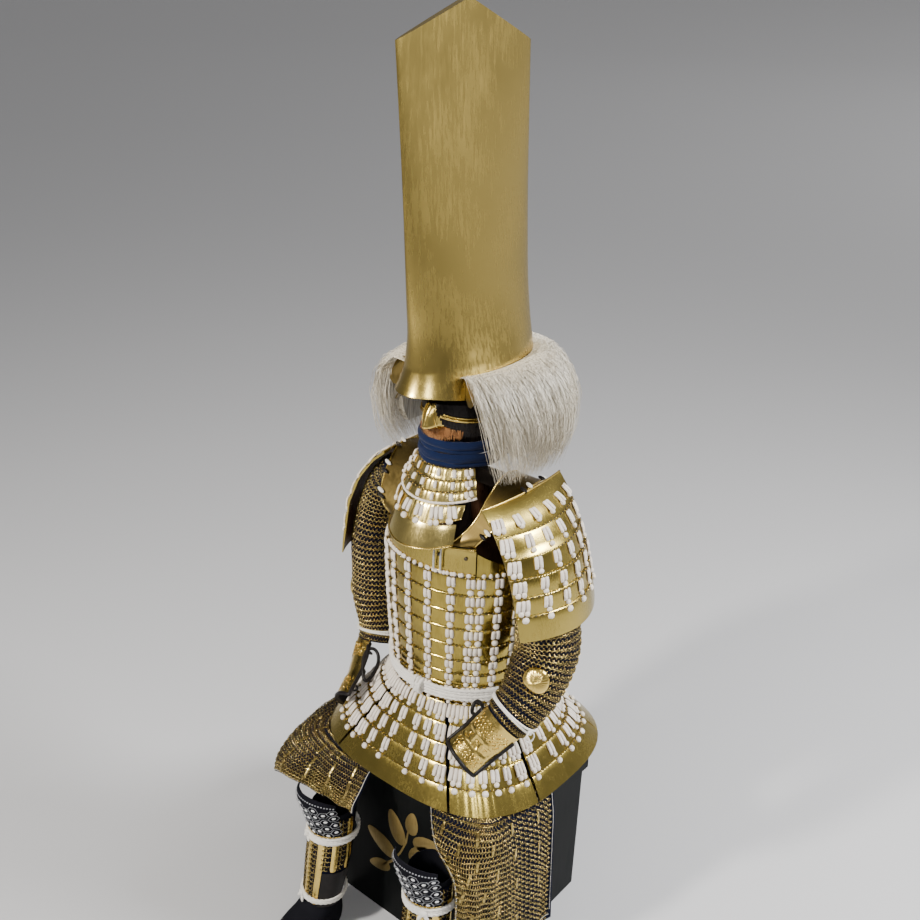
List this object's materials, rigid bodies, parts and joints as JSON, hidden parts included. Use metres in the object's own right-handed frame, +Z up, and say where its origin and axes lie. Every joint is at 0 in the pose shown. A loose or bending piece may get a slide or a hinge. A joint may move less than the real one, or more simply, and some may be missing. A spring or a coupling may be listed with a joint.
{
  "type": "samurai armour on its armour chest",
  "caption": "Gold-lacquered samurai armour with a tall court-cap helmet and white hair mane, seated as worn and hollow on its black armour chest.",
  "frame": {"origin": "centre of the armour chest's underside, on the surface that it stands on", "axes": "+Z up, -Y the armour's front, +X the armour's left side"},
  "size_m": [0.6112, 0.7103, 1.9005],
  "materials": {
    "gold_leaf": "worn gold leaf over lacquer, satin",
    "gold_plate": "gold-lacquered lames with lacing, satin to glossy",
    "dark_gold": "dull gold lacquer, satin",
    "mail_cloth": "gilt mail and small plates on navy cloth",
    "navy_cloth": "matte woven cloth",
    "blue_scarf": "matte woven cloth",
    "white_cord": "braided and twisted white cord",
    "white_hair": "long white hair",
    "brown_hair": "short brown bristle",
    "black_lacquer": "black lacquer, glossy",
    "black_cloth": "black cloth and leather with silver hexagons",
    "stand_wood": "plain satin wood"
  },
  "bodies": {
    "root": {"helmet": "gold_leaf", "cuirass_front": "gold_plate", "cuirass_left": "gold_plate", "cuirass_back": "gold_plate", "cuirass_right": "gold_plate", "chest_plate": "gold_plate", "back_plate": "gold_plate", "bib_upper": "gold_plate", "bib_laced": "gold_plate", "bib_plain": "gold_plate", "tasset_front": "gold_plate", "tasset_front_left": "gold_plate", "tasset_front_right": "gold_plate", "tasset_side_left": "gold_plate", "tasset_side_right": "gold_plate", "tasset_rear_left": "gold_plate", "tasset_rear_right": "gold_plate", "shoulder_guard_left": "gold_plate", "shoulder_guard_right": "gold_plate", "elbow_plate_left": "gold_plate", "elbow_plate_right": "gold_plate", "hand_guard_left": "gold_plate", "hand_guard_right": "gold_plate", "shin_guard_left": "gold_plate", "shin_guard_right": "gold_plate", "neck_guard": "dark_gold", "mask": "dark_gold", "turned_back_end_left": "dark_gold", "turned_back_end_right": "dark_gold", "shoulder_strap_left": "dark_gold", "shoulder_strap_right": "dark_gold", "sleeve_left": "mail_cloth", "sleeve_right": "mail_cloth", "thigh_guard_left": "mail_cloth", "thigh_guard_right": "mail_cloth", "thigh_guard_belt": "navy_cloth", "scarf_upper": "blue_scarf", "scarf_lower": "blue_scarf", "sash": "white_cord", "sash_knot": "white_cord", "wrist_tie_left": "white_cord", "wrist_tie_right": "white_cord", "knee_tie_left": "white_cord", "knee_tie_right": "white_cord", "ankle_tie_left": "white_cord", "ankle_tie_right": "white_cord", "hair_mane": "white_hair", "mask_beard": "brown_hair", "chest_body": "black_lacquer", "chest_lid": "black_lacquer", "legging_left": "black_cloth", "legging_right": "black_cloth", "knee_pad_left": "black_cloth", "knee_pad_right": "black_cloth", "stand_post": "stand_wood", "stand_shoulder_bar": "stand_wood", "stand_head_block": "stand_wood"}
  },
  "joints": []
}
